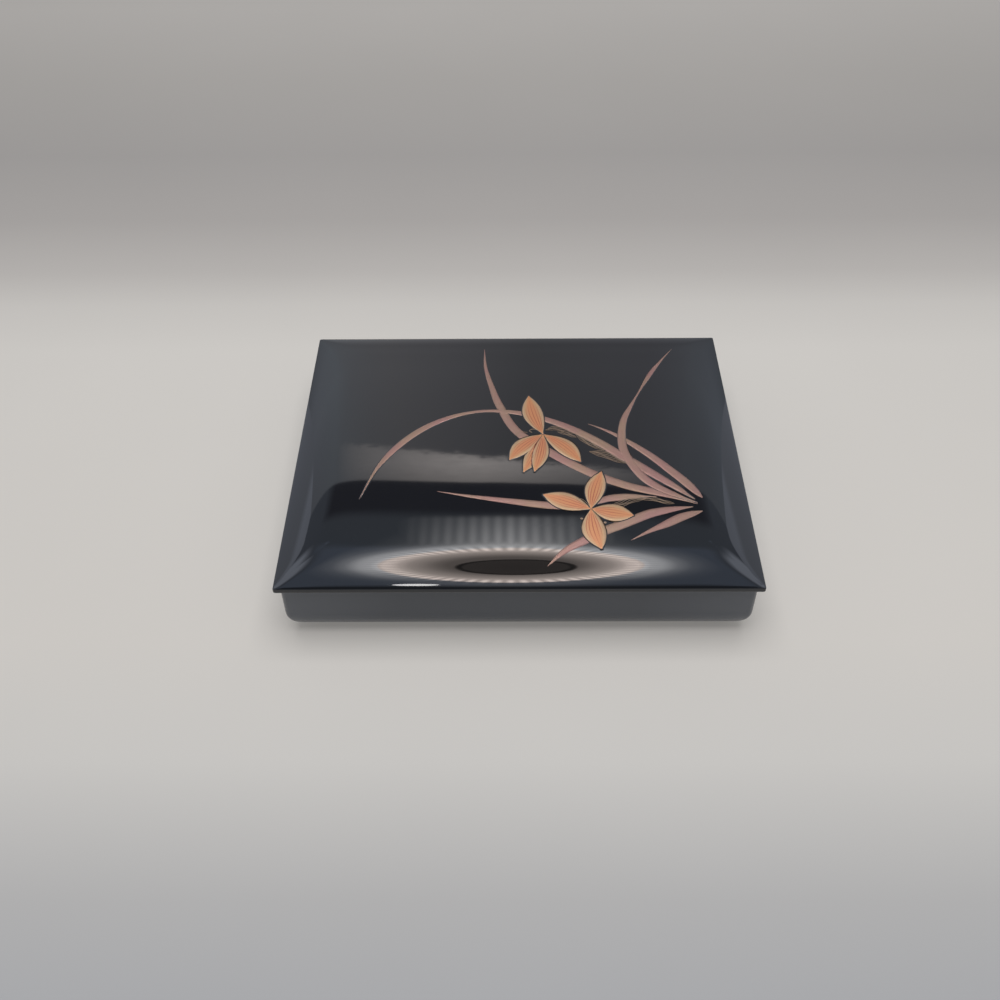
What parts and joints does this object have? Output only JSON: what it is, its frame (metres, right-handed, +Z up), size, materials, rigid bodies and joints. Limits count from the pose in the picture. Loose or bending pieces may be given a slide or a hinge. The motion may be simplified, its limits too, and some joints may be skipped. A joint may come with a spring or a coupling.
{
  "type": "lacquer box",
  "caption": "Shallow black lacquer box with a crowned, overhanging lift-off lid, rounded lower edges and an orchid spray laid on the lid.",
  "frame": {"origin": "middle of the flat underside, on the surface the box stands on", "axes": "+X along the length to the right, +Y along the width to the back, +Z up through the lid"},
  "size_m": [0.24, 0.198, 0.0469],
  "materials": {
    "body_lacquer": "black gloss lacquer over a wood core",
    "lid_lacquer": "polished black gloss lacquer over a wood core",
    "corner_key": "wood key, its showing edge under black lacquer",
    "blade_powder": "rose-bronze powder in lacquer, satin",
    "petal_powder": "orange and gold powder in lacquer, satin",
    "line_lacquer": "thin dark gold and brown lacquer lines"
  },
  "bodies": {
    "box_body": {"wall_front": "body_lacquer", "wall_back": "body_lacquer", "wall_left": "body_lacquer", "wall_right": "body_lacquer", "floor_board": "body_lacquer", "wall_key_front_left_lower": "corner_key", "wall_key_front_right_lower": "corner_key", "wall_key_back_left_lower": "corner_key", "wall_key_back_right_lower": "corner_key", "wall_key_front_left_upper": "corner_key", "wall_key_front_right_upper": "corner_key", "wall_key_back_left_upper": "corner_key", "wall_key_back_right_upper": "corner_key"},
    "lid": {"lid_rail_front": "lid_lacquer", "lid_rail_back": "lid_lacquer", "lid_rail_left": "lid_lacquer", "lid_rail_right": "lid_lacquer", "lid_panel": "lid_lacquer", "lid_key_front_left": "corner_key", "lid_key_front_right": "corner_key", "lid_key_back_left": "corner_key", "lid_key_back_right": "corner_key", "lid_strip_front": "lid_lacquer", "lid_strip_back": "lid_lacquer", "lid_strip_left": "lid_lacquer", "lid_strip_right": "lid_lacquer"}
  },
  "joints": [
    {"name": "lid_lift", "type": "slide", "parent": "box_body", "child": "lid", "axis": [0, 0, 1], "range_m": [0, 0.08]}
  ]
}
